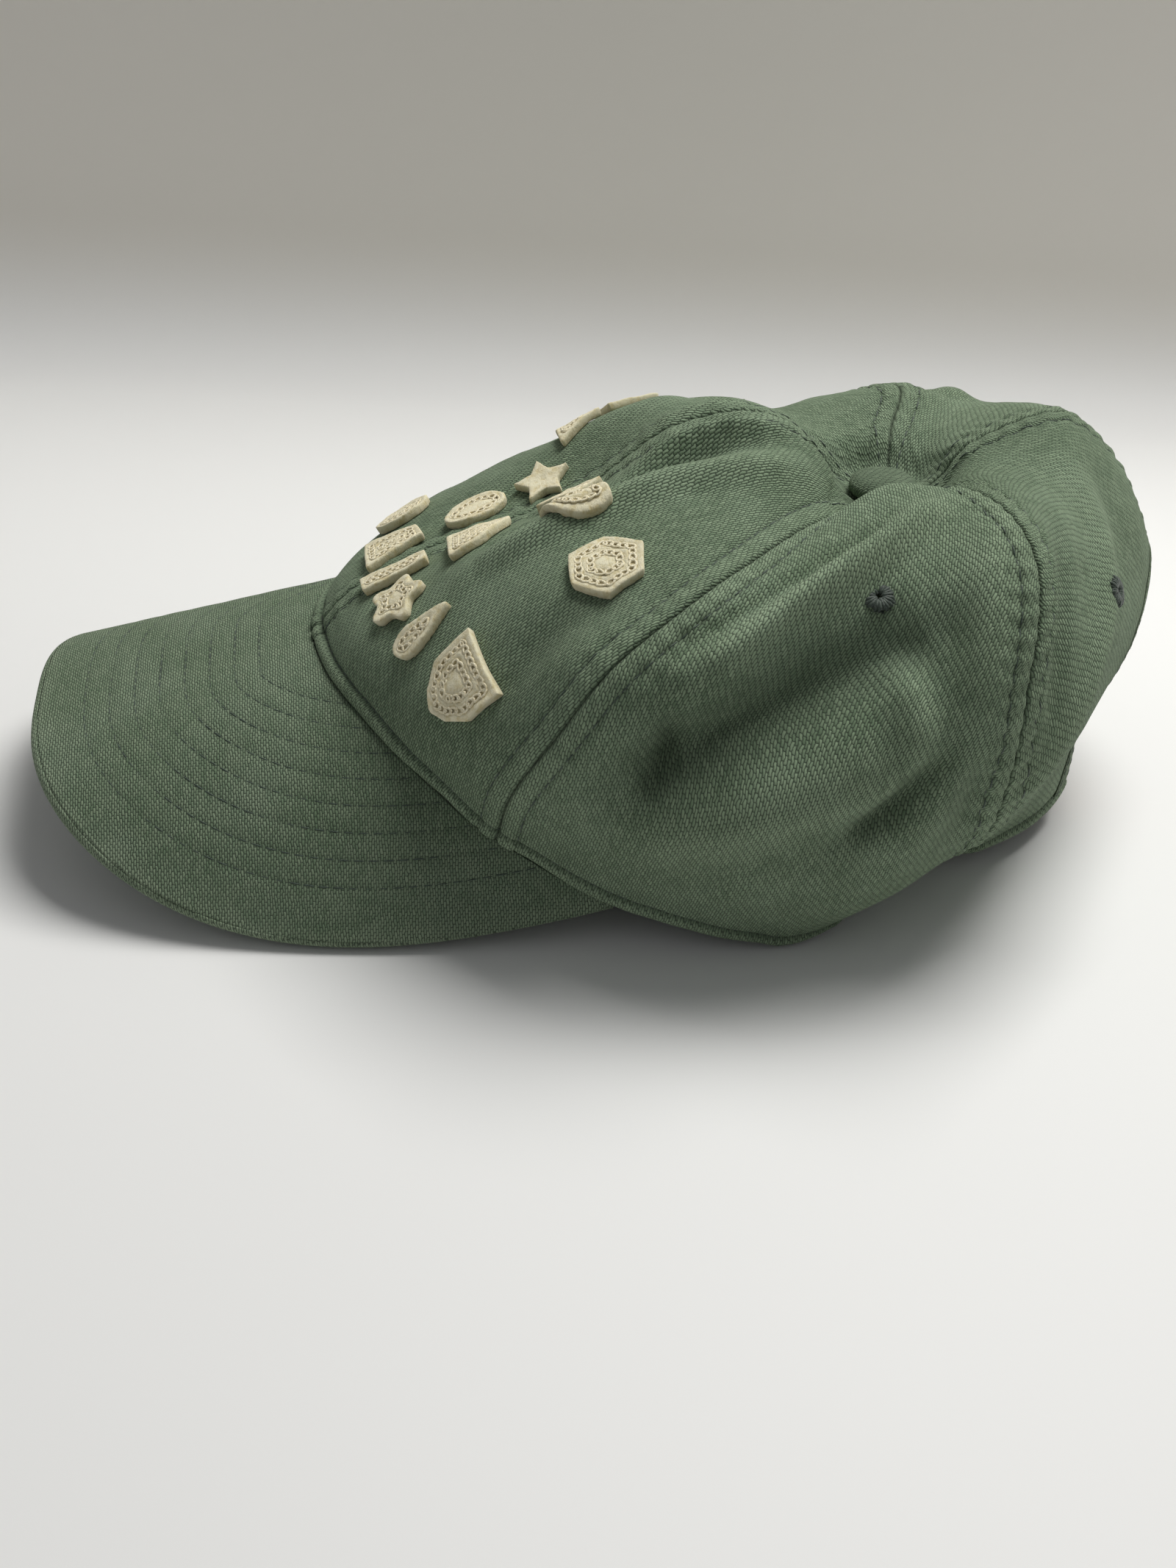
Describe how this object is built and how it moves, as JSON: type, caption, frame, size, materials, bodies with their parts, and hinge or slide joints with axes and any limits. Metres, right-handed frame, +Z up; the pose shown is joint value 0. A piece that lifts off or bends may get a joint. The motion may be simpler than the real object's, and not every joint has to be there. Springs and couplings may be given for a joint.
{
  "type": "baseball cap",
  "caption": "Soft six-panel baseball cap with a curved stitched visor, covered top button, felt patches and an adjustable strap with a hinged clasp at the back.",
  "frame": {"origin": "middle of the head opening, on the surface the cap rests on", "axes": "+Z up, visor towards -Y, wearer's left towards +X"},
  "size_m": [0.1746, 0.2745, 0.0968],
  "materials": {
    "canvas": "washed cotton canvas",
    "seam_tape": "plain woven cotton tape",
    "sweatband": "cotton twill",
    "visor_board": "moulded polyethylene",
    "embroidery_thread": "satin stitch",
    "felt": "wool felt",
    "label_satin": "woven satin",
    "steel": "plated steel",
    "antique_brass": "antiqued"
  },
  "bodies": {
    "cap": {"back_eyelet_left": "embroidery_thread", "back_eyelet_right": "embroidery_thread", "back_left_seam_tape": "seam_tape", "back_opening_binding": "canvas", "back_panel_left": "canvas", "back_panel_right": "canvas", "back_right_seam_tape": "seam_tape", "back_seam_tape": "seam_tape", "buckle_frame": "antique_brass", "buckle_pin": "antique_brass", "buckle_tab": "canvas", "button_core": "steel", "button_cover": "canvas", "button_rivet": "steel", "button_washer": "steel", "care_label": "label_satin", "felt_diamond": "felt", "felt_disc": "felt", "felt_drop": "felt", "felt_flower": "felt", "felt_hexagon": "felt", "felt_leaf": "felt", "felt_oval": "felt", "felt_quarter": "felt", "felt_shield": "felt", "felt_slant": "felt", "felt_square": "felt", "felt_star": "felt", "felt_trapezoid": "felt", "felt_triangle": "felt", "front_left_seam_tape": "seam_tape", "front_panel_left": "canvas", "front_panel_right": "canvas", "front_right_seam_tape": "seam_tape", "front_seam_tape": "seam_tape", "side_eyelet_left": "embroidery_thread", "side_eyelet_right": "embroidery_thread", "side_panel_left": "canvas", "side_panel_right": "canvas", "sweatband": "sweatband", "visor_board": "visor_board", "visor_edge_roll": "canvas", "visor_top_cloth": "canvas", "visor_under_cloth": "canvas"},
    "strap": {"adjusting_strap": "canvas"},
    "lever": {"buckle_lever": "antique_brass"}
  },
  "joints": [
    {"name": "strap_adjust", "type": "hinge", "parent": "cap", "child": "strap", "pos_m": [0, 0.0445, 0.0175], "axis": [0, 0, 1], "range_deg": [-12, 12]},
    {"name": "clasp_lever", "type": "hinge", "parent": "cap", "child": "lever", "pos_m": [0.02674, 0.08722, 0.0175], "axis": [0, 0, -1], "range_deg": [0, 100]}
  ]
}
